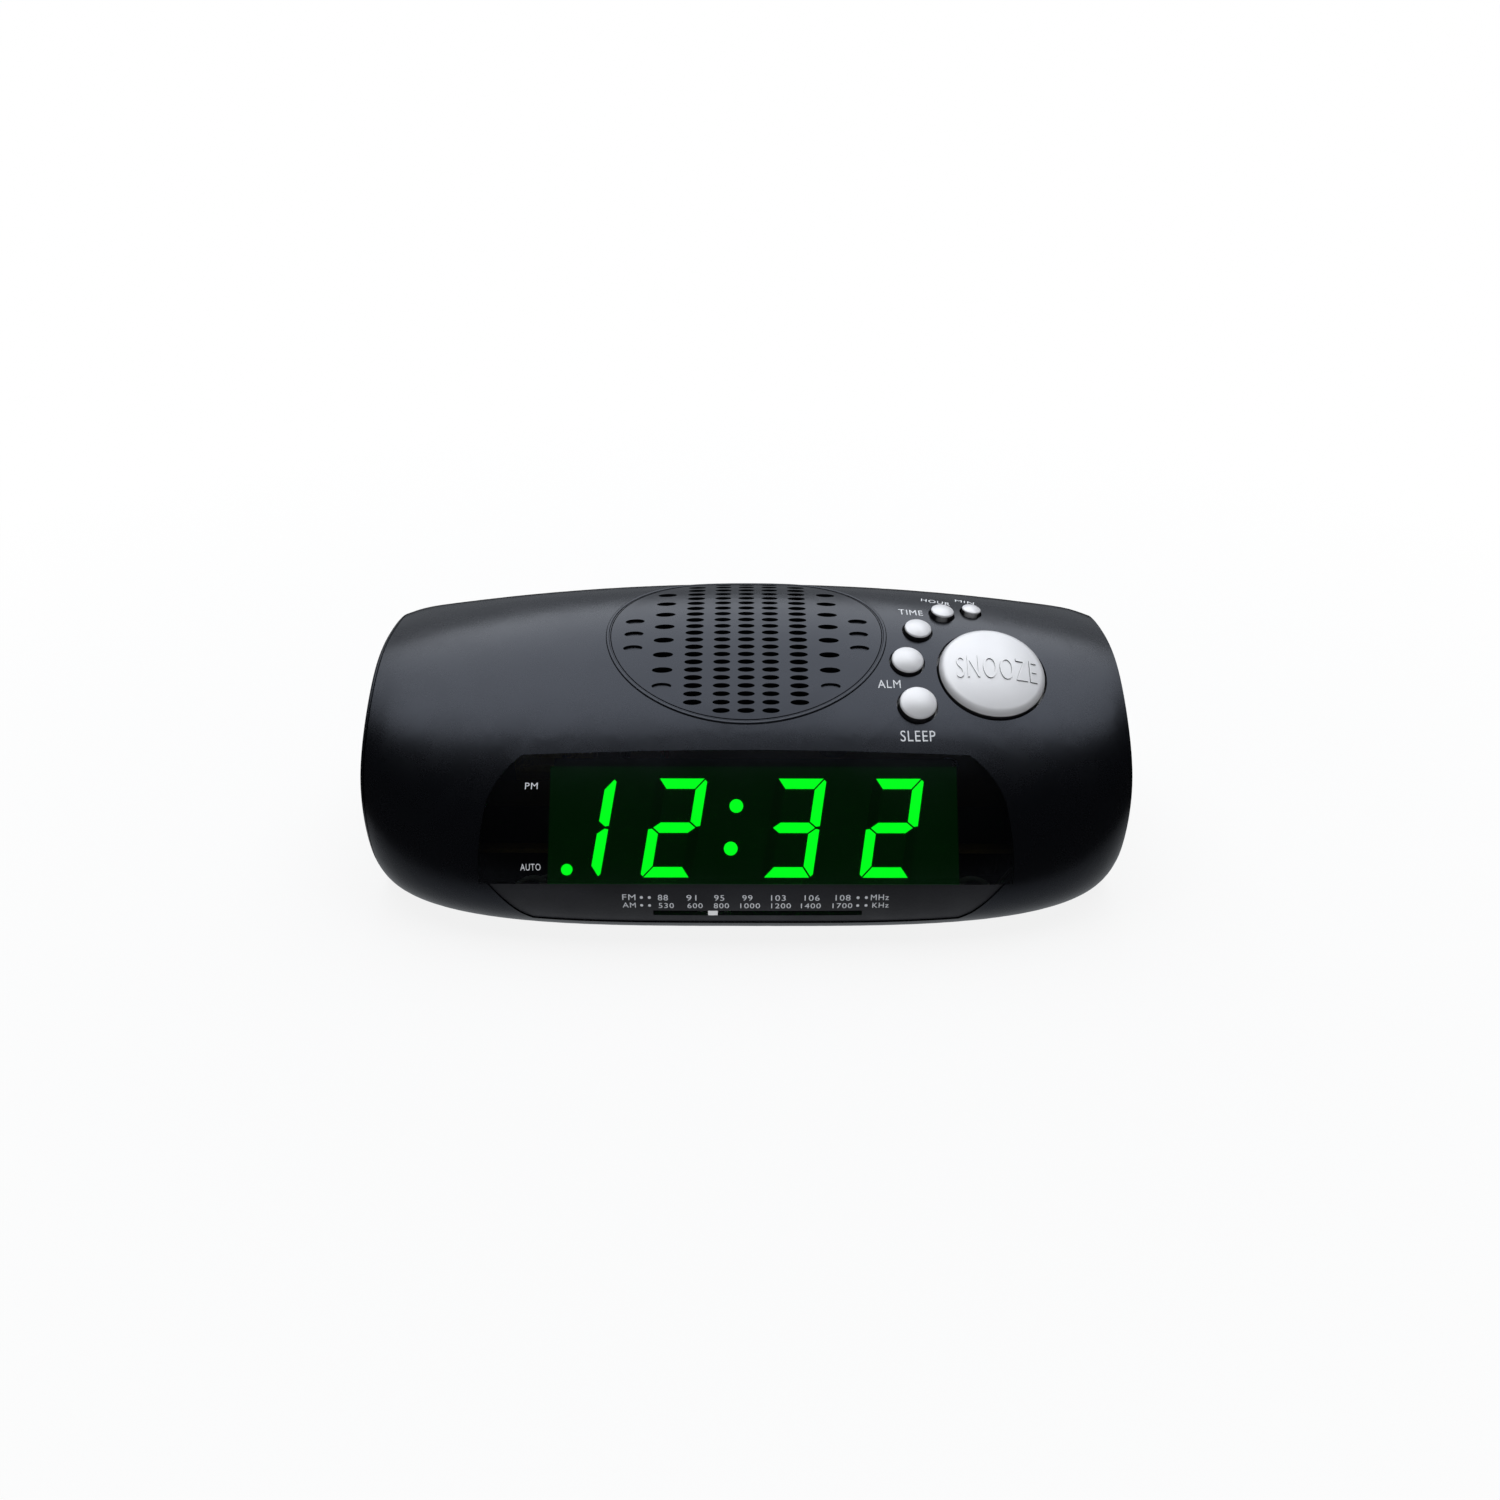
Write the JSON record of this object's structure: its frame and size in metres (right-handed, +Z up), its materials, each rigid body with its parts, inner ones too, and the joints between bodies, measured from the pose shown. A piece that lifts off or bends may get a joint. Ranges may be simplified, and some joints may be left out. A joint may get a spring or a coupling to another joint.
{
  "type": "clock radio",
  "caption": "Barrel-shaped bedside clock radio with an oval speaker grille, tilted LED display, tuning dial and a large snooze button.",
  "frame": {"origin": "on the table, at the middle of the footprint of the whole object with its coiled cord, which is 31.1 mm behind the middle of the housing", "axes": "+X to the user's right, +Y to the back, +Z up"},
  "size_m": [0.235, 0.1728, 0.0756],
  "materials": {
    "housing_plastic": "fine moulded satin",
    "strip_plastic": "fine matt texture",
    "lens": "polished smoked",
    "silver_plastic": "satin silver paint",
    "knob_plastic": "satin",
    "rubber": "matt",
    "cord_rubber": "satin",
    "zinc_steel": "zinc plated",
    "nickel": "nickel",
    "brass": "drawn",
    "board": "paper laminate",
    "component": "moulded",
    "white_plastic": "moulded",
    "lit": "glowing",
    "unlit": "dark",
    "iron": "varnished",
    "paper": "paper pulp",
    "aluminium_can": "sleeved can",
    "wire": "insulation"
  },
  "bodies": {
    "housing": {"main_shell": "housing_plastic", "display_lens": "lens", "dial_strip": "strip_plastic", "speaker_grille": "housing_plastic", "end_cap_left": "housing_plastic", "end_cap_right": "housing_plastic", "bottom_cover": "housing_plastic", "backup_cell": "nickel", "cell_contact": "nickel", "rubber_feet": "rubber", "housing_screws": "zinc_steel", "board_screws": "zinc_steel", "small_screws": "zinc_steel", "tact_switches": "component", "front_button_board": "board", "rear_button_board": "board", "tuning_capacitor": "component", "pulley_pins": "zinc_steel", "pointer_rail": "zinc_steel", "dial_cord": "wire", "volume_control": "component", "function_switch": "component", "band_switch": "component", "main_board": "board", "led_display": "component", "lit_segments": "lit", "dark_segments": "unlit", "display_board": "board", "speaker_frame": "zinc_steel", "speaker_cone": "paper", "speaker_magnet": "iron", "speaker_clamps": "zinc_steel", "transformer_core": "iron", "transformer_winding": "component", "transformer_bracket": "zinc_steel", "ferrite_rod": "iron", "ferrite_coil": "white_plastic", "electrolytic_capacitors": "aluminium_can", "integrated_circuits": "component", "internal_wiring": "wire", "power_cord": "cord_rubber", "power_plug": "cord_rubber", "plug_blades": "brass", "wire_aerial": "cord_rubber"},
    "snooze_key": {"snooze_button": "silver_plastic"},
    "sleep_key": {"sleep_button": "silver_plastic"},
    "alarm_key": {"alarm_button": "silver_plastic"},
    "time_key": {"time_button": "silver_plastic"},
    "hour_key": {"hour_button": "silver_plastic"},
    "minute_key": {"minute_button": "silver_plastic"},
    "tuning": {"tuning_wheel": "knob_plastic", "tuning_shaft": "brass"},
    "pointer": {"dial_pointer": "white_plastic"},
    "pulley_left": {"cord_pulley_left": "white_plastic"},
    "pulley_right": {"cord_pulley_right": "white_plastic"},
    "volume": {"volume_wheel": "knob_plastic", "volume_shaft": "brass"},
    "function_key": {"function_slider": "knob_plastic"},
    "band_key": {"band_slider": "knob_plastic"},
    "cell_door": {"battery_door": "housing_plastic"}
  },
  "joints": [
    {"name": "snooze_press", "type": "slide", "parent": "housing", "child": "snooze_key", "axis": [-0.0611, 0.43, -0.9007], "range_m": [0, 0.0008], "stiffness_N_per_m": 400},
    {"name": "sleep_press", "type": "slide", "parent": "housing", "child": "sleep_key", "axis": [-0.034, 0.4967, -0.8673], "range_m": [0, 0.0008], "stiffness_N_per_m": 400},
    {"name": "alarm_press", "type": "slide", "parent": "housing", "child": "alarm_key", "axis": [-0.0382, 0.4276, -0.9032], "range_m": [0, 0.0008], "stiffness_N_per_m": 400},
    {"name": "time_press", "type": "slide", "parent": "housing", "child": "time_key", "axis": [-0.0594, 0.2782, -0.9587], "range_m": [0, 0.0008], "stiffness_N_per_m": 400},
    {"name": "hour_press", "type": "slide", "parent": "housing", "child": "hour_key", "axis": [-0.0881, 0.1261, -0.9881], "range_m": [0, 0.0008], "stiffness_N_per_m": 400},
    {"name": "minute_press", "type": "slide", "parent": "housing", "child": "minute_key", "axis": [-0.1076, 0.0697, -0.9917], "range_m": [0, 0.0008], "stiffness_N_per_m": 400},
    {"name": "tuning_turn", "type": "hinge", "parent": "housing", "child": "tuning", "pos_m": [0.0945, -0.0191, 0.01], "axis": [0, 0, 1], "range_deg": [-50, 128]},
    {"name": "pointer_slide", "type": "slide", "parent": "housing", "child": "pointer", "axis": [1, 0, 0], "range_m": [-0.0149, 0.0381]},
    {"name": "pulley_left_spin", "type": "hinge", "parent": "housing", "child": "pulley_left", "pos_m": [-0.064, -0.0743, 0.011], "axis": [0, 0, 1], "range_deg": [-194, 496.1]},
    {"name": "pulley_right_spin", "type": "hinge", "parent": "housing", "child": "pulley_right", "pos_m": [0.068, -0.0743, 0.011], "axis": [0, 0, 1], "range_deg": [-194, 496.1]},
    {"name": "volume_turn", "type": "hinge", "parent": "housing", "child": "volume", "pos_m": [-0.1035, -0.0331, 0.028], "axis": [0, 0, 1], "range_deg": [-150, 150]},
    {"name": "function_slide", "type": "slide", "parent": "housing", "child": "function_key", "axis": [0, 1, 0], "range_m": [-0.004, 0.004]},
    {"name": "band_slide", "type": "slide", "parent": "housing", "child": "band_key", "axis": [0, 1, 0], "range_m": [-0.0025, 0.0025]},
    {"name": "cell_door_turn", "type": "hinge", "parent": "housing", "child": "cell_door", "pos_m": [0.04, -0.0261, 0.0025], "axis": [0, 0, 1], "range_deg": [0, 60]}
  ],
  "couplings": [
    {"joint": "pointer_slide", "follows": "tuning_turn", "m_per_rad": 0.01705},
    {"joint": "pulley_left_spin", "follows": "tuning_turn", "ratio": 3.875},
    {"joint": "pulley_right_spin", "follows": "tuning_turn", "ratio": 3.875}
  ]
}
